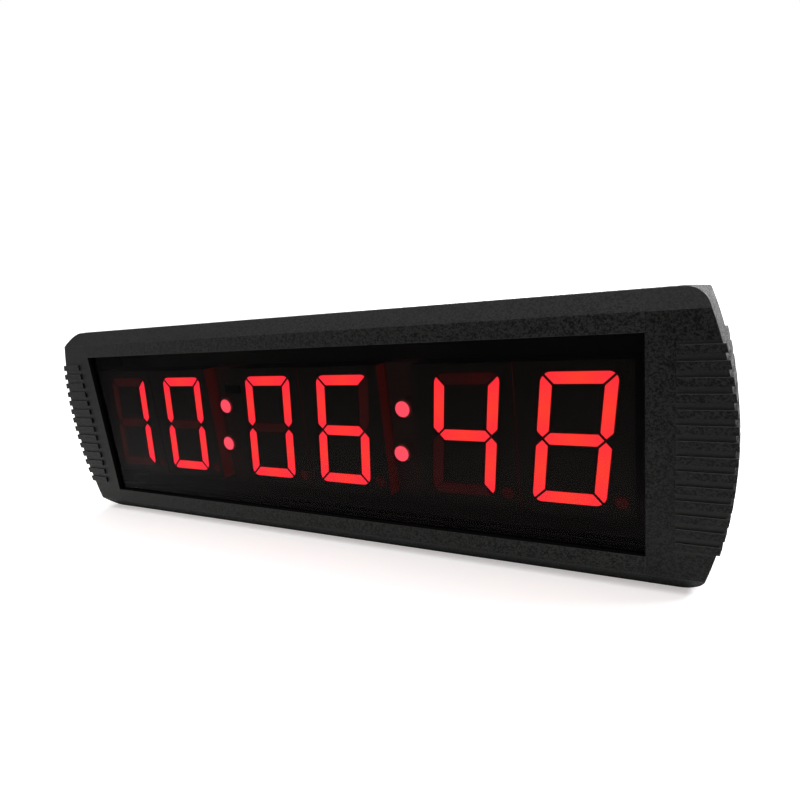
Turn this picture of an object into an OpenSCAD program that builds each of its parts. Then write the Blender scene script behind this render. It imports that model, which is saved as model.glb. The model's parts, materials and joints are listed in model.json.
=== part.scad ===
// Gym round timer: a six-digit LED clock in a shallow wall or table case.
// Two identical extruded rails run between two ribbed end caps and hold the
// smoked window, the display board and the back panel in their grooves.
// Axes: X to the right, Y from the front to the back, Z up.
// Origin: middle of the case's width and depth, on the surface it stands on.

/* [Frame] */
// Width across the plain side faces at mid height, without the ribs
frame_w = 307.6; // [300:0.2:330]
// Height of the frame
frame_h = 93.2; // [92:0.2:98]
// Depth from the front plane of the bezel to the rear edges
frame_d = 37; // [37:0.5:42]
// Thickness of the rail and cap walls
wall = 2; // [1.8:0.1:2.4]
// Thickness of the bezel in front of the window
bezel_t = 1.8; // [1.6:0.1:2.2]
// Depth of the sloping band along the top and bottom front edges
chamfer_d = 5.4; // [4:0.2:7]
// Height of the sloping band
chamfer_h = 5.8; // [4:0.2:7]
// How far the top and bottom faces close in towards the rear
rear_drop = 2.6; // [2:0.2:3]
// How far each end cap's side face closes in towards the rear
side_draft = 1.4; // [0:0.1:2]

/* [Display opening] */
// Width of the opening
opening_w = 260.1; // [256:0.1:262]
// Height of the opening
opening_h = 69.5; // [67:0.5:71]
// Thickness of the window sheet
window_t = 2.5; // [2:0.1:2.8]

/* [End caps] */
// Radius of the bowed side face, seen from the front
bow_r = 124; // [118:1:140]
// Radius of the cap's outer corners, seen from the front
corner_r = 8; // [5:0.5:9]
// Number of ribs on each cap
rib_count = 14; // [8:1:14]
// Distance from one rib to the next
rib_pitch = 4.6; // [4:0.1:4.6]
// Height of one rib
rib_h = 2.6; // [2:0.1:3]
// How far the ribs stand out of the front face
rib_rise = 0.7; // [0.6:0.1:1.4]
// How far the ribs stand out of the side face
rib_side_rise = 0.8; // [0.4:0.1:1]
// Plain band between the opening and the inner ends of the ribs
rib_start = 8.4; // [6:0.2:12]

/* [Digits] */
// Height of a digit
digit_h = 45; // [44:0.1:46]
// Width of a digit, measured straight across
digit_w = 24.8; // [23:0.1:26]
// Width of a segment
stroke = 4.3; // [3.8:0.1:4.8]
// Gap between neighbouring segments
segment_gap = 0.5; // [0.3:0.1:0.8]
// Radius of a digit's outer corners
segment_r = 3.6; // [2.5:0.1:4]
// Sideways lean of the digits for each unit of height
lean = 0.112; // [0:0.01:0.15]
// Distance between the two digits of a pair
digit_pitch = 38.4; // [38.3:0.1:38.8]
// Distance between the middles of two neighbouring pairs
pair_pitch = 91.1; // [90:0.1:91.5]
// Sideways offset of the display from the middle of the frame
display_dx = -2.8; // [-4:0.1:0]
// Height offset of the display from the middle of the frame
display_dz = 0.8; // [0:0.1:2]

/* [Controls and hangers] */
// Travel of the four buttons
button_travel = 0.6; // [0.3:0.1:0.6]
// Tilt of the rocker from its level position
rocker_tilt = 9; // [6:1:9]
// Distance between the two wall hangers
hanger_span = 200; // [160:5:200]

/* [Hidden] */
$fn = 64;

// frame, measured from the middle of its height and from the bezel's front plane
half_h = frame_h / 2;
half_open = opening_h / 2;
seam_x = opening_w / 2;
fold_z = half_h - chamfer_h;
lip_end = chamfer_d + 3;
rear_h = half_h - rear_drop;
inner_shift = 0.42 * wall;
mid_y = (frame_d - rib_rise) / 2;

// end caps
bow_x = frame_w / 2 - bow_r;
corner_z = half_h - corner_r;
corner_x = bow_x + sqrt(pow(bow_r - corner_r, 2) - pow(corner_z, 2));
corner_angle = atan2(corner_z, corner_x - bow_x);
rib_x = seam_x + rib_start;
cap_rear_t = 2.2;
screw_front = [11.5, 40.2];
screw_rear = [24.5, 40];
screw_seat_x = seam_x + 3;
recess_r = 3.3;
cavity_cut = corner_x + corner_z + (corner_r - wall) * sqrt(2);
plug_x = seam_x + 10;
boss_r = 4.4;
foot = [131, 139, 29];

// rail grooves
web_t = 1.2;
port_r = 3.4;
port_bore_r = 1.45;
window_y = bezel_t;
window_back_y = window_y + window_t;
seal_t = 1;
seal_z = half_open + 1.1;
window_half_h = half_open + 3;
channel_y = frame_d - 7.4;
channel_wall = 1.3;
channel_z = 29;
channel_lip = 1.8;
channel_gap = [31.2, 40];
groove_gap = 0.3;
board_fin_z = 36.8;
panel_fin_z = 24.8;
panel_y = frame_d - 4.55;
panel_t = 1.5;
panel_half_h = 27.2;
panel_back_y = panel_y + panel_t;

// vents in the back panel
vent_count = 9;
vent_x = -100;
vent_pitch = 4.5;
vent_w = 2;
vent_z = 9;
vent_half_h = 6;

// boards
face_y = 5.2;
module_size = [38.1, 51.5];
module_d = 12;
board_t = 1.6;
board_y = face_y + module_d;
board_back_y = board_y + board_t;
board_half = [128, 38.4];
control_y = board_back_y + 6;
control_back_y = control_y + board_t;
control_half = [62, 34];
spacer_at = [56, 31.2];
spigot_r = 1.6;
spigot_l = 1.2;

// control board components
leg_pitch = 1.27;
leg_t = 0.2;
cell_at = [-36, 15.4];
cell_r = 10;
buzzer_at = [8, -14];
capacitor_x = [22, 32, 42];
capacitor_r = 3.1;

// segments
segment_t = 2.5;
half_w = (digit_w - stroke) / 2;
half_a = (digit_h - stroke) / 2;
half_s = stroke / 2;
gap_x = segment_gap * sqrt(2) / 2;
gap_turn = asin(segment_gap / 2 / segment_r);
point_at = [14.8, -20.4];
point_r = 2.2;
SEGMENTS = ["a", "b", "c", "d", "e", "f", "g"];
LIT = ["bc", "abcdef", "abcdef", "acdefg", "bcfg", "abcdefg"];

// lamps between the pairs of digits, and the plate that holds them
lamp_r = 3;
lamp_z = 8.7;
lamp_shift = [0.65, 0.4];
lamp_lean = 0.145;
lamp_face_y = face_y + 0.2;
sleeve_y = face_y + 0.7;
sleeve_r = 3.6;
holder_y = face_y + 6.5;
holder_half = [7.1, module_size.y / 2];
lamp_seat_y = holder_y + 1.5;
receiver_at = [4.35, 17.5];
receiver_half = [2.65, 1.7];
receiver_y = face_y + 0.4;
receiver_back_y = receiver_y + 4;
receiver_lens = [1.2, 0.9];
receiver_leg = 0.25;
receiver_legs = [-2, -0.7, 0.7, 2];
leg_slot = [2.4, 0.6];

// rear controls
button_x = [-42, -30, -18, -6];
button_r = 3;
flange_r = 3.8;
stem_r = 1.6;
switch_h = 3.5;
jack_x = 78;
jack_r = 4;
jack_tip_y = frame_d - 0.6;
socket_r = 2.8;
lead_y = control_y - 3;
lead_r = 0.8;
lead_z = [-2.6, 0.4, 3.4];
tab_t = 1.4;
connector_x = [53, 61];
rocker_x = 101;
rocker_pivot_y = panel_back_y - 2.4;
rocker_half = [5.1, 3];
pivot_r = 0.8;
hanger_y = channel_y + 3.7;
hanger_t = 1.6;
hanger_half = [10, 6.3];
keyhole_r = 3.6;
keyhole_slot_r = 1.9;
keyhole_z = -1.9;
keyhole_rise = 5;

// ---------- helpers ----------

module in_case() {
    translate([0, -mid_y, half_h]) children();
}

module box(low, high) {
    translate(low) cube(high - low);
}

// a flat shape drawn in Y and Z, drawn out along X
module along_x(x0, x1) {
    translate([x0, 0, 0]) rotate([90, 0, 90]) linear_extrude(x1 - x0) children();
}

// a flat shape drawn in X and Z, drawn out along Y
module along_y(y0, y1) {
    translate([0, y1, 0]) rotate([90, 0, 0]) linear_extrude(y1 - y0) children();
}

module rod_x(r, x0, x1, y, z) {
    translate([x0, y, z]) rotate([0, 90, 0]) cylinder(r = r, h = x1 - x0);
}

module rod_y(r, y0, y1, x, z) {
    translate([x, y0, z]) rotate([-90, 0, 0]) cylinder(r = r, h = y1 - y0);
}

module rod_z(r, z0, z1, x, y) {
    translate([x, y, z0]) cylinder(r = r, h = z1 - z0);
}

module rect(u0, u1, v0, v1) {
    translate([u0, v0]) square([u1 - u0, v1 - v0]);
}

// ---------- rails ----------

// outer skin: bezel lip, sloping band and the closing-in top face
module rail_skin() {
    polygon([
        [0, half_open], [0, fold_z], [chamfer_d, half_h], [lip_end, half_h],
        [frame_d, rear_h], [frame_d, rear_h - wall], [lip_end, half_h - wall],
        [chamfer_d + inner_shift, half_h - wall], [bezel_t, fold_z - inner_shift],
        [bezel_t, half_open]
    ]);
}

// flat fins inside the rail, each as [front, rear, inner end, outer end]
fins = [
    // web behind the window
    [window_back_y + seal_t, window_back_y + seal_t + web_t, seal_z, half_h - 1.8],
    // groove for the display board
    [board_y - groove_gap - 1, board_y - groove_gap, board_fin_z, half_h - wall],
    [board_back_y + groove_gap, board_back_y + groove_gap + 1, board_fin_z, half_h - wall],
    // stems that carry the two screw ports
    [screw_front.x - 0.8, screw_front.x + 0.8, screw_front.y + 2, half_h - 1.5],
    [screw_rear.x - 0.8, screw_rear.x + 0.8, screw_rear.y + 2, rear_h],
    // hanger channel with its two rear lips
    [channel_y - channel_wall, channel_y, channel_z - 1.4, rear_h - 1],
    [channel_y - channel_wall, frame_d, channel_z - 1.4, channel_z],
    [frame_d - channel_lip, frame_d, channel_z - 1, channel_gap[0]],
    [frame_d - channel_lip, frame_d, channel_gap[1], rear_h - 1],
    // groove for the back panel
    [panel_y - groove_gap - web_t, panel_y - groove_gap, panel_fin_z, channel_z - 1],
    [panel_back_y + groove_gap, panel_back_y + groove_gap + web_t, panel_fin_z, channel_z - 1]
];

module rail() {
    difference() {
        union() {
            along_x(-seam_x, seam_x) rail_skin();
            for (f = fins) along_x(-seam_x, seam_x) rect(f[0], f[1], f[2], f[3]);
            for (p = [screw_front, screw_rear]) rod_x(port_r, -seam_x, seam_x, p.x, p.y);
        }
        for (p = [screw_front, screw_rear]) rod_x(port_bore_r, -seam_x - 1, seam_x + 1, p.x, p.y);
    }
}

module top_rail() {
    color("#30322f") in_case() rail();
}

module bottom_rail() {
    color("#30322f") in_case() mirror([0, 0, 1]) rail();
}

// ---------- end caps ----------

// side view of the case, drawn in by the given amount
module side_profile(inset, shift) {
    top = [
        [0, fold_z - shift], [chamfer_d + shift, half_h - inset],
        [lip_end, half_h - inset], [frame_d, rear_h - inset]
    ];
    polygon(concat(top, [for (i = [3:-1:0]) [top[i].x, -top[i].y]]));
}

// front view of the right cap: bowed side with round outer corners
module cap_outline() {
    far = 30;
    difference() {
        intersection() {
            translate([bow_x, 0]) circle(bow_r, $fn = 180);
            rect(seam_x, frame_w, -half_h, half_h);
        }
        for (s = [-1, 1])
            polygon([
                [corner_x, s * corner_z], [corner_x, s * (corner_z + far)],
                [corner_x + far, s * (corner_z + far)],
                [corner_x + far * cos(corner_angle), s * (corner_z + far * sin(corner_angle))]
            ]);
    }
    for (s = [-1, 1]) translate([corner_x, s * corner_z]) circle(corner_r);
}

// cone round the bow's axis that closes the side face in behind the flat lip
module draft_cone(grow) {
    slope = side_draft / (frame_d - lip_end);
    ahead = 2;
    radius = bow_r + grow + slope * (lip_end + ahead);
    length = frame_d + 2 * ahead;
    translate([bow_x, -ahead, 0]) rotate([-90, 0, 0])
        cylinder(r1 = radius, r2 = radius - slope * length, h = length, $fn = 180);
}

module cap_envelope() {
    intersection() {
        along_y(0, frame_d) cap_outline();
        draft_cone(0);
        along_x(seam_x, frame_w) side_profile(0, 0);
    }
}

// the cavity's corners are cut at 45 degrees to keep the wall whole inside the round ones
module cavity_corners() {
    low_z = corner_z / 2;
    right = [[cavity_cut - half_h, half_h], [cavity_cut - low_z, low_z]];
    polygon(concat(
        [[seam_x - 1, -half_h], [seam_x - 1, half_h]], right,
        [for (i = [1:-1:0]) [right[i].x, -right[i].y]]
    ));
}

module cap_cavity() {
    intersection() {
        draft_cone(-wall);
        along_y(bezel_t, frame_d - cap_rear_t)
            intersection() {
                translate([bow_x, 0]) circle(bow_r - wall, $fn = 180);
                cavity_corners();
            }
        along_x(seam_x - 1, frame_w) side_profile(wall, inner_shift);
    }
}

module cap_ribs() {
    first = -(rib_count - 1) / 2;
    intersection() {
        for (i = [0:rib_count - 1]) {
            z = (first + i) * rib_pitch;
            box([rib_x, -rib_rise, z - rib_h / 2], [frame_w, frame_d, z + rib_h / 2]);
        }
        draft_cone(rib_side_rise);
        along_y(-rib_rise, frame_d)
            translate([bow_x, 0]) circle(bow_r + rib_side_rise, $fn = 180);
    }
}

module at_cap_screws() {
    for (p = [screw_front, screw_rear], s = [-1, 1]) translate([0, p.x, s * p.y]) children();
}

module right_cap() {
    difference() {
        union() {
            difference() {
                union() {
                    cap_envelope();
                    cap_ribs();
                    box([foot[0], foot[2], -half_h], [foot[1], frame_d, wall - half_h + 1]);
                }
                cap_cavity();
            }
            intersection() {
                at_cap_screws() rod_x(boss_r, seam_x, frame_w, 0, 0);
                cap_envelope();
            }
        }
        at_cap_screws() {
            rod_x(recess_r, screw_seat_x, frame_w, 0, 0);
            rod_x(1.8, seam_x - 1, screw_seat_x + 1, 0, 0);
        }
    }
}

module right_end_cap() {
    color("#2a2c2a") in_case() right_cap();
}

module left_end_cap() {
    color("#2a2c2a") in_case() mirror([1, 0, 0]) right_cap();
}

// pan-head self-tapping screw along X, its head's seat at the origin
module cap_screw() {
    difference() {
        rotate([0, 90, 0]) cylinder(r1 = 3, r2 = 2.5, h = 2.2);
        for (a = [0, 90]) rotate([a, 0, 0]) box([1.1, -1.7, -0.35], [3, 1.7, 0.35]);
    }
    rod_x(1.35, -17, 0.1, 0, 0);
}

module end_cap_screws() {
    color("#8b8d8e") in_case()
        for (side = [0, 1]) mirror([side, 0, 0])
            at_cap_screws() translate([screw_seat_x, 0, 0]) cap_screw();
}

// flush plugs that close the recesses over the cap screws
module screw_plugs() {
    color("#222422") in_case()
        for (side = [0, 1]) mirror([side, 0, 0]) intersection() {
            at_cap_screws() rod_x(recess_r - 0.05, plug_x, frame_w, 0, 0);
            cap_envelope();
        }
}

// ---------- window and back panel ----------

module display_window() {
    color("#1a0c0d", 0.5) in_case()
        box([-seam_x - 4.5, window_y, -window_half_h], [seam_x + 4.5, window_back_y, window_half_h]);
}

module window_seals() {
    color("#151515") in_case()
        for (s = [0, 1]) mirror([0, 0, s])
            box([1 - seam_x, window_back_y, seal_z], [seam_x - 1, window_back_y + seal_t, seal_z + 1.8]);
}

module back_panel() {
    color("#262826") in_case() difference() {
        box([-seam_x - 3, panel_y, -panel_half_h], [seam_x + 3, panel_back_y, panel_half_h]);
        for (x = button_x) rod_y(button_r + 0.3, panel_y - 1, panel_back_y + 1, x, 0);
        rod_y(jack_r + 0.1, panel_y - 1, panel_back_y + 1, jack_x, 0);
        box([rocker_x - 6.8, panel_y - 1, -4.4], [rocker_x + 6.8, panel_back_y + 1, 4.4]);
        for (i = [0:vent_count - 1], s = [-1, 1])
            translate([vent_x + i * vent_pitch, 0, s * vent_z])
                box([0, panel_y - 1, -vent_half_h], [vent_w, panel_back_y + 1, vent_half_h]);
    }
}

// ---------- display ----------

function arc(cx, cz, r, from, to, steps) =
    [for (i = [0:steps]) let (a = from + (to - from) * i / steps) [cx + r * cos(a), cz + r * sin(a)]];

// top bar: corners cut at 45 degrees, outer ends rounded
top_bar = concat(
    [[half_s - half_w + gap_x, half_a - half_s], [half_w - half_s - gap_x, half_a - half_s]],
    arc(half_w + half_s - segment_r, half_a + half_s - segment_r, segment_r, 45 + gap_turn, 90, 5),
    arc(segment_r - half_w - half_s, half_a + half_s - segment_r, segment_r, 90, 135 - gap_turn, 5)
);

// upper left bar: rounded above, pointed where it meets the middle bar
side_bar = concat(
    arc(segment_r - half_w - half_s, half_a + half_s - segment_r, segment_r, 135 + gap_turn, 180, 5),
    [
        [-half_w - half_s, half_s + gap_x], [-half_w, gap_x],
        [half_s - half_w, half_s + gap_x], [half_s - half_w, half_a - half_s - gap_x]
    ]
);

// middle bar: pointed at both ends
middle_bar = [
    [gap_x - half_w, 0], [half_s - half_w + gap_x, half_s], [half_w - half_s - gap_x, half_s],
    [half_w - gap_x, 0], [half_w - half_s - gap_x, -half_s], [half_s - half_w + gap_x, -half_s]
];

function bar_points(k) =
    k == "g" ? middle_bar : k == "a" || k == "d" ? top_bar : side_bar;
function bar_sign(k) =
    k == "b" ? [-1, 1] : k == "c" ? [-1, -1] : k == "d" || k == "e" ? [1, -1] : [1, 1];

module bar(k) {
    sign = bar_sign(k);
    polygon([for (p = bar_points(k)) [sign.x * p.x + lean * sign.y * p.y, sign.y * p.y]]);
}

function digit_x(i) =
    display_dx + pair_pitch * (floor((i - 1) / 2) - 1) + digit_pitch * ((i - 1) % 2 - 0.5);
function is_lit(i, k) = len(search(k, LIT[i - 1])) > 0;

module at_digit(i) {
    in_case() translate([digit_x(i), 0, display_dz]) children();
}

module digit_housing(i) {
    size = module_size / 2;
    color("#141414") at_digit(i) difference() {
        box([-size.x, face_y, -size.y], [size.x, board_y, size.y]);
        for (k = SEGMENTS) along_y(face_y - 1, face_y + segment_t) bar(k);
        rod_y(point_r, face_y - 1, face_y + segment_t, point_at.x, point_at.y);
    }
}

module lit_bars(i) {
    color("#ff2a2a") at_digit(i) along_y(face_y, face_y + segment_t)
        for (k = SEGMENTS) if (is_lit(i, k)) bar(k);
}

module unlit_bars(i) {
    color("#3a1214") at_digit(i) {
        along_y(face_y, face_y + segment_t) for (k = SEGMENTS) if (!is_lit(i, k)) bar(k);
        rod_y(point_r, face_y, face_y + segment_t, point_at.x, point_at.y);
    }
}

module display_board() {
    color("#101512") in_case() difference() {
        box([-board_half.x, board_y, -board_half.y], [board_half.x, board_back_y, board_half.y]);
        at_spacers() rod_y(spigot_r, board_back_y - spigot_l, board_back_y + 1, 0, 0);
    }
}

// the two gaps between the pairs of digits
module at_colons() {
    for (i = [2, 4])
        in_case() translate([(digit_x(i) + digit_x(i + 1)) / 2, 0, display_dz]) children();
}

// the two lamps of a colon, on a slanted line
module at_lamps() {
    for (s = [-1, 1])
        translate([lamp_shift.x + lamp_lean * s * lamp_z, 0, lamp_shift.y + s * lamp_z])
            children();
}

// infrared receiver's place, beside the first colon
module at_receiver() {
    in_case() translate([
        (digit_x(2) + digit_x(3)) / 2 + receiver_at[0], 0, display_dz + receiver_at[1]
    ]) children();
}

// plate that fills the gap, with a round sleeve for each lamp
module colon_holders() {
    color("#2a2724") difference() {
        at_colons() difference() {
            union() {
                box([-holder_half.x, holder_y, -holder_half.y], [holder_half.x, board_y, holder_half.y]);
                at_lamps() rod_y(sleeve_r, sleeve_y, holder_y + 0.1, 0, 0);
            }
            at_lamps() rod_y(lamp_r, sleeve_y - 1, lamp_seat_y, 0, 0);
        }
        at_receiver() box([-leg_slot.x, holder_y - 1, -leg_slot.y],
            [leg_slot.x, board_y + 1, leg_slot.y]);
    }
}

// flat-fronted lamps
module colon_lamps() {
    color("#ff5a64") at_colons() at_lamps() rod_y(lamp_r, lamp_face_y, lamp_seat_y, 0, 0);
}

// block with two lenses on four long legs
module ir_receiver() {
    color("#0c0c0e") at_receiver() {
        box([-receiver_half.x, receiver_y, -receiver_half.y],
            [receiver_half.x, receiver_back_y, receiver_half.y]);
        for (s = [-1, 1])
            rod_y(receiver_lens[1], receiver_y - 0.5, receiver_y + 0.1, s * receiver_lens[0], 0);
        for (x = receiver_legs)
            box([x - receiver_leg, receiver_back_y - 0.1, -receiver_leg],
                [x + receiver_leg, board_y, receiver_leg]);
    }
}

// ---------- control board ----------

module at_spacers() {
    for (sx = [-1, 1], sz = [-1, 1]) translate([sx * spacer_at.x, 0, sz * spacer_at.y]) children();
}

module control_board() {
    color("#1d5a34") in_case() difference() {
        box([-control_half.x, control_y, -control_half.y],
            [control_half.x, control_back_y, control_half.y]);
        at_spacers() rod_y(1.6, control_y - 1, control_back_y + 1, 0, 0);
    }
}

// threaded hexagon spacers, soldered into the display board by a short spigot
module board_spacers() {
    color("#c8a450") in_case() at_spacers() difference() {
        union() {
            translate([0, board_back_y, 0]) rotate([-90, 0, 0])
                cylinder(r = 2.9, h = control_y - board_back_y, $fn = 6);
            rod_y(spigot_r, board_back_y - spigot_l, board_back_y + 0.1, 0, 0);
        }
        rod_y(1.35, board_back_y + 0.8, control_y + 1, 0, 0);
    }
}

// screws through the control board into the spacers
module board_screws() {
    color("#b9bcbe") in_case() at_spacers() difference() {
        union() {
            rod_y(2.6, control_back_y, control_back_y + 1.6, 0, 0);
            rod_y(1.3, control_back_y - 5, control_back_y + 0.1, 0, 0);
        }
        for (half = [[1.7, 0.35], [0.35, 1.7]])
            box([-half[0], control_back_y + 0.9, -half[1]], [half[0], control_back_y + 2, half[1]]);
    }
}

module board_link() {
    color("#1a1a1a") in_case()
        box([-15.2, board_back_y, -23.8], [15.2, control_y, -18.8]);
}

// bent leg of a chip: foot on the board, upright and shoulder into the body
module chip_leg(shoulder_y) {
    w = leg_t;
    box([-w, 0, 0.8], [w, leg_t, 1.5]);
    box([-w, 0, 0.6], [w, shoulder_y, 0.8]);
    box([-w, shoulder_y - leg_t, -leg_t], [w, shoulder_y, 0.8]);
}

// chip body and its two rows of legs, on the rear of the control board
module chip(at, size, legs) {
    translate([at.x, control_back_y, at.y]) {
        box([-size.x / 2, leg_t, -size.y / 2], [size.x / 2, size.z, size.y / 2]);
        for (i = [0:legs - 1], s = [0, 1]) mirror([0, 0, s])
            translate([(i - (legs - 1) / 2) * leg_pitch, 0, size.y / 2]) chip_leg(size.z / 2);
    }
}

module microcontroller() {
    color("#191919") in_case() chip([10, 14], [18, 7.6, 2.4], 14);
}

module segment_drivers() {
    color("#191919") in_case() for (x = [-44, -22]) chip([x, -16], [12.8, 7.6, 2.4], 10);
}

module clock_chip() {
    color("#191919") in_case() chip([32, 16], [5, 4, 1.7], 4);
}

module crystal() {
    color("#c9ccd0") in_case() {
        rod_x(1.5, 36, 44, control_back_y + 1.5, 25);
        box([43.9, control_back_y + 1.3, 24.2], [47, control_back_y + 1.7, 24.6]);
        box([43.9, control_back_y + 1.3, 25.4], [47, control_back_y + 1.7, 25.8]);
    }
}

module voltage_regulator() {
    color("#1b1b1b") in_case() translate([46, control_back_y, -3]) {
        box([-3.3, 0.2, -3], [3.3, 2.4, 3.2]);
        box([-2.7, 0, 2.4], [2.7, 0.6, 4.4]);
        for (x = [-2.3, 0, 2.3]) box([x - 0.4, 0, -5.2], [x + 0.4, 0.6, -2.8]);
    }
}

module capacitors() {
    half = capacitor_r + 0.2;
    color("#b4b8bc") in_case() for (x = capacitor_x) translate([x, control_back_y, -20]) {
        box([-half, 0, -half], [half, 0.8, half]);
        rod_y(capacitor_r, 0.7, 5.2, 0, 0);
    }
}

module coin_cell_holder() {
    color("#202020") in_case() translate([cell_at.x, control_back_y, cell_at.y]) difference() {
        rod_y(cell_r + 1.2, 0, 4.2, 0, 0);
        rod_y(cell_r + 0.2, 1, 5, 0, 0);
        // finger notch
        box([-cell_r - 3, 2.6, -4], [2 - cell_r, 5, 4]);
    }
}

module coin_cell() {
    color("#d5d8da") in_case() translate([cell_at.x, control_back_y, cell_at.y]) {
        rod_y(cell_r, 1, 4, 0, 0);
        rod_y(cell_r - 1.2, 3.9, 4.1, 0, 0);
    }
}

module buzzer() {
    color("#151515") in_case() difference() {
        rod_y(4.6, control_back_y, control_back_y + 5, buzzer_at.x, buzzer_at.y);
        rod_y(0.9, control_back_y + 3, control_back_y + 6, buzzer_at.x, buzzer_at.y);
    }
}

// ---------- power ----------

module power_connector() {
    color("#e4e1d6") in_case() difference() {
        box([connector_x[0], control_y - 4.6, -4.6], [connector_x[1], control_y, 5.4]);
        box([connector_x[0] + 2, control_y - 5.6, -3.6], [connector_x[1] - 1, control_y - 3.9, 4.4]);
    }
}

// return lead, supply to the switch, and switched supply back to the board
module power_leads() {
    color("#9a1c1c") in_case() {
        rod_x(lead_r, connector_x[1], jack_x - tab_t, lead_y, lead_z[0]);
        rod_x(lead_r, jack_x + tab_t, rocker_x - 4, lead_y, lead_z[1]);
        rod_x(lead_r, connector_x[1], rocker_x - 4, lead_y, lead_z[2]);
    }
}

// solder tab on the front of the jack or the switch, where a lead ends
module tab(x, z) {
    box([x, lead_y - lead_r, z - 0.9], [x + tab_t, control_y - 1.7, z + 0.9]);
}

module dc_jack() {
    color("#1c1c1e") in_case() difference() {
        union() {
            box([jack_x - 4.6, control_y - 1.8, -4.6], [jack_x + 4.6, panel_y, 4.6]);
            rod_y(jack_r, panel_y - 0.1, jack_tip_y, jack_x, 0);
            tab(jack_x - tab_t, lead_z[0]);
            tab(jack_x, lead_z[1]);
        }
        rod_y(socket_r, control_y + 1.4, jack_tip_y + 1, jack_x, 0);
    }
}

module dc_jack_pin() {
    color("#c7b27a") in_case() rod_y(1.05, control_y + 1.4, jack_tip_y - 1, jack_x, 0);
}

module dc_jack_nut() {
    color("#a9adb0") in_case() difference() {
        translate([jack_x, panel_back_y, 0]) rotate([-90, 0, 0]) cylinder(r = 5.9, h = 1.7, $fn = 6);
        rod_y(jack_r + 0.05, panel_back_y - 1, panel_back_y + 3, jack_x, 0);
    }
}

module power_switch_body() {
    color("#161616") in_case() difference() {
        union() {
            box([rocker_x - 6.7, control_y - 1.8, -4.3], [rocker_x + 6.7, panel_back_y, 4.3]);
            box([rocker_x - 7.6, panel_back_y, -5.2], [rocker_x + 7.6, panel_back_y + 1.2, 5.2]);
            for (z = [lead_z[1], lead_z[2]]) tab(rocker_x - 4, z);
        }
        box([rocker_x - 5.8, rocker_pivot_y - 2, -3.25], [rocker_x + 5.8, panel_back_y + 2, 3.25]);
        rod_z(pivot_r + 0.05, -3.9, 3.9, rocker_x, rocker_pivot_y);
    }
}

// two-way rocker on its own cross pin, shown pressed down on its right side
module power_rocker() {
    u = rocker_half.x;
    color("#111111") in_case() translate([rocker_x, rocker_pivot_y, 0]) rotate([0, 0, -rocker_tilt]) {
        translate([0, 0, -rocker_half.y]) linear_extrude(2 * rocker_half.y)
            polygon([[-u, 1], [-u, 3.6], [0, 2.7], [u, 3.6], [u, 1], [1, -1.2], [-1, -1.2]]);
        rod_z(pivot_r, -3.8, 3.8, 0, 0);
    }
}

// ---------- buttons ----------

module button_switches() {
    color("#222222") in_case() for (x = button_x) difference() {
        box([x - 3, control_back_y, -3], [x + 3, control_back_y + switch_h, 3]);
        rod_y(stem_r + 0.2, control_back_y + 1, control_back_y + switch_h + 1, x, 0);
    }
}

// cap, retaining flange and stem of one button
module button(i) {
    x = button_x[i];
    color("#2e2e2e") in_case() {
        rod_y(button_r, panel_y - 0.6, panel_back_y + 1.7, x, 0);
        rod_y(flange_r, panel_y - 1.2, panel_y - 0.2, x, 0);
        rod_y(stem_r, control_back_y + 1 + button_travel + 0.3, panel_y - 1, x, 0);
    }
}

module mode_button() { button(0); }
module set_button() { button(1); }
module plus_button() { button(2); }
module minus_button() { button(3); }

// ---------- wall hangers ----------

// plate that slides in the rail's rear channel, with a keyhole for a wall screw
module hanger(x) {
    mid_z = (channel_z + rear_h - wall) / 2 + 0.1;
    color("#b5b8ba") in_case() translate([x, 0, mid_z]) difference() {
        box([-hanger_half.x, hanger_y, -hanger_half.y],
            [hanger_half.x, hanger_y + hanger_t, hanger_half.y]);
        rod_y(keyhole_r, hanger_y - 1, hanger_y + hanger_t + 1, 0, keyhole_z);
        rod_y(keyhole_slot_r, hanger_y - 1, hanger_y + hanger_t + 1, 0, keyhole_z + keyhole_rise);
        box([-keyhole_slot_r, hanger_y - 1, keyhole_z],
            [keyhole_slot_r, hanger_y + hanger_t + 1, keyhole_z + keyhole_rise]);
    }
}

module left_hanger() { hanger(-hanger_span / 2); }
module right_hanger() { hanger(hanger_span / 2); }

// ---------- one node at a time ----------

top_rail();
bottom_rail();
left_end_cap();
right_end_cap();
end_cap_screws();
screw_plugs();
display_window();
window_seals();
back_panel();
display_board();
digit_housing(1);  // digit_1_housing
digit_housing(2);  // digit_2_housing
digit_housing(3);  // digit_3_housing
digit_housing(4);  // digit_4_housing
digit_housing(5);  // digit_5_housing
digit_housing(6);  // digit_6_housing
lit_bars(1);  // digit_1_lit
lit_bars(2);  // digit_2_lit
lit_bars(3);  // digit_3_lit
lit_bars(4);  // digit_4_lit
lit_bars(5);  // digit_5_lit
lit_bars(6);  // digit_6_lit
unlit_bars(1);  // digit_1_unlit
unlit_bars(2);  // digit_2_unlit
unlit_bars(3);  // digit_3_unlit
unlit_bars(4);  // digit_4_unlit
unlit_bars(5);  // digit_5_unlit
unlit_bars(6);  // digit_6_unlit
colon_holders();
colon_lamps();
ir_receiver();
control_board();
board_spacers();
board_screws();
board_link();
microcontroller();
segment_drivers();
clock_chip();
crystal();
voltage_regulator();
capacitors();
coin_cell_holder();
coin_cell();
buzzer();
power_connector();
power_leads();
dc_jack();
dc_jack_pin();
dc_jack_nut();
power_switch_body();
power_rocker();
button_switches();
mode_button();
set_button();
plus_button();
minus_button();
left_hanger();
right_hanger();
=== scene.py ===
import json
import math

import bmesh
import bpy
from mathutils import Matrix, Vector


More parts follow.
